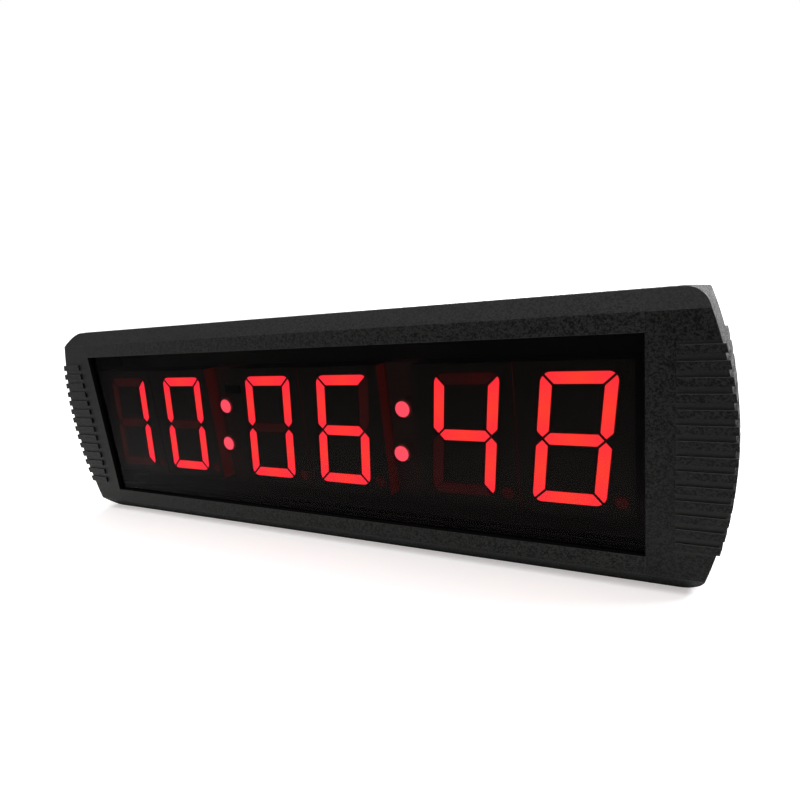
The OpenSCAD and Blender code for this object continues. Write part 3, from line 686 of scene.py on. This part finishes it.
def add_receiver_tile():
    """Infrared-pass tile between the window and the face of the third digit."""
    low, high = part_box("ir_receiver")
    window_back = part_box("display_window")[1].y
    mesh = bpy.data.meshes.new("receiver_tile")
    b = bmesh.new()
    made = bmesh.ops.create_cube(b, size=1)["verts"]
    bmesh.ops.scale(b, vec=(TILE_WIDTH, TILE_THICK, high.z - low.z), verts=made)
    at = Vector((low.x + TILE_WIDTH / 2, window_back + TILE_THICK / 2, (low.z + high.z) / 2))
    bmesh.ops.translate(b, vec=at + TILE_SHIFT, verts=made)
    bmesh.ops.bevel(b, geom=b.edges[:], offset=TILE_EDGE, segments=2, affect="EDGES", profile=0.5)
    b.to_mesh(mesh)
    b.free()
    mesh.materials.append(plain("receiver_tile", (0.002, 0.002, 0.002), 0.8, 0.05))
    tile = bpy.data.objects.new("receiver_tile", mesh)
    bpy.context.scene.collection.objects.link(tile)
    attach(tile, "case")


# ---------- stage and light ----------

FLOOR_RADIUS = 14
# glow of the floor that the camera sees, and of the strip that lights the object from in front
FLOOR_SHOWN, FLOOR_THROW = 0.4, 1.5
# distances in metres in front of the object, where the floor turns from dark to pale
DARK_FLOOR, PALE_FLOOR = 0.30, 0.10
# where the glowing strip begins and where it ends
STRIP_FROM, STRIP_TO = 0.16, 0.01


def make_stage():
    """Pale floor; the camera sees it nearly white, and the object gets a softer light from it."""
    mesh = bpy.data.meshes.new("floor")
    b = bmesh.new()
    bmesh.ops.create_circle(b, cap_ends=True, segments=96, radius=FLOOR_RADIUS)
    b.to_mesh(mesh)
    b.free()
    floor = bpy.data.objects.new("floor", mesh)
    bpy.context.scene.collection.objects.link(floor)
    s = Shader("floor")
    seen = s.add("ShaderNodeLightPath").outputs["Is Camera Ray"]
    pale = s.mix(s.noise(900, 2), (0.94, 0.935, 0.935), (0.96, 0.955, 0.955))
    low, high = Vector(cad_bounds[0]), Vector(cad_bounds[1])
    close = s.ramp(s.axis("Y"), low.y - DARK_FLOOR, low.y - PALE_FLOOR)
    bounce = s.mix(close, (0.25, 0.25, 0.25), (0.65, 0.65, 0.65))
    s.set(Base_Color=s.mix(seen, bounce, pale), Roughness=0.9, Specular_IOR_Level=0.1)
    # the glowing strip, a little weaker towards the right
    ahead = s.ramp(s.axis("Y"), low.y - STRIP_FROM, low.y - STRIP_TO)
    ahead = s.math("MULTIPLY", ahead, s.ramp(s.axis("Y"), low.y - STRIP_TO, low.y, 1.0, 0.0))
    along = s.ramp(s.axis("X"), low.x, high.x, 0.5, 0.4)
    thrown = s.math("MULTIPLY", s.math("MULTIPLY", ahead, along), FLOOR_THROW)
    glow = s.math("ADD", s.math("MULTIPLY", seen, FLOOR_SHOWN),
                  s.math("MULTIPLY", s.math("SUBTRACT", 1.0, seen), thrown))
    s.set(Emission_Color=(1.0, 0.95, 0.94), Emission_Strength=glow)
    mesh.materials.append(s.material)


ROOM_LIGHT = 0.27
# strength of the sun-like key, its width in degrees, and the way that it shines
KEY_POWER, KEY_WIDTH = 2.3, 85
KEY_WAY = (0.10, -0.12, -0.98)


def area_light(name, at, towards, size, power):
    """Rectangular panel; places and sizes in metres, power in watts."""
    data = bpy.data.lights.new(name, "AREA")
    data.shape = "RECTANGLE"
    data.size, data.size_y = size
    data.energy = power
    light = bpy.data.objects.new(name, data)
    light.location = at
    light.rotation_euler = (Vector(towards) - Vector(at)).to_track_quat("-Z", "Y").to_euler()
    bpy.context.scene.collection.objects.link(light)


def make_light():
    """Backdrop that only the camera sees white, dim room light, wide key from above, three panels."""
    world = bpy.data.worlds.new("studio")
    world.use_nodes = True
    tree = world.node_tree
    shown = tree.nodes["Background"]
    shown.inputs["Strength"].default_value = 1.0
    shown.inputs["Color"].default_value = (1, 1, 1, 1)
    lit = tree.nodes.new("ShaderNodeBackground")
    lit.inputs["Strength"].default_value = ROOM_LIGHT
    path = tree.nodes.new("ShaderNodeLightPath")
    pick = tree.nodes.new("ShaderNodeMixShader")
    tree.links.new(path.outputs["Is Camera Ray"], pick.inputs["Fac"])
    tree.links.new(lit.outputs[0], pick.inputs[1])
    tree.links.new(shown.outputs[0], pick.inputs[2])
    tree.links.new(pick.outputs[0], tree.nodes["World Output"].inputs["Surface"])
    bpy.context.scene.world = world
    data = bpy.data.lights.new("key", "SUN")
    data.energy = KEY_POWER
    data.angle = math.radians(KEY_WIDTH)
    key = bpy.data.objects.new("key", data)
    key.rotation_euler = Vector(KEY_WAY).to_track_quat("-Z", "Y").to_euler()
    bpy.context.scene.collection.objects.link(key)
    area_light("left", (-0.75, -0.50, 0.30), (-0.12, 0, 0.05), (0.5, 0.5), 1.2)
    area_light("side", (0.75, 0.35, 0.65), (0.12, 0, 0.05), (0.4, 0.4), 6)
    area_light("back", (0.2, 1.3, 0.5), (0.05, 0, 0.05), (2.4, 1.0), 14)
    view = bpy.context.scene.view_settings
    view.view_transform = "Standard"
    view.look = "None"


make_camera()
finish_nodes()
soften_nodes()
add_marks()
add_receiver_tile()
make_stage()
make_light()
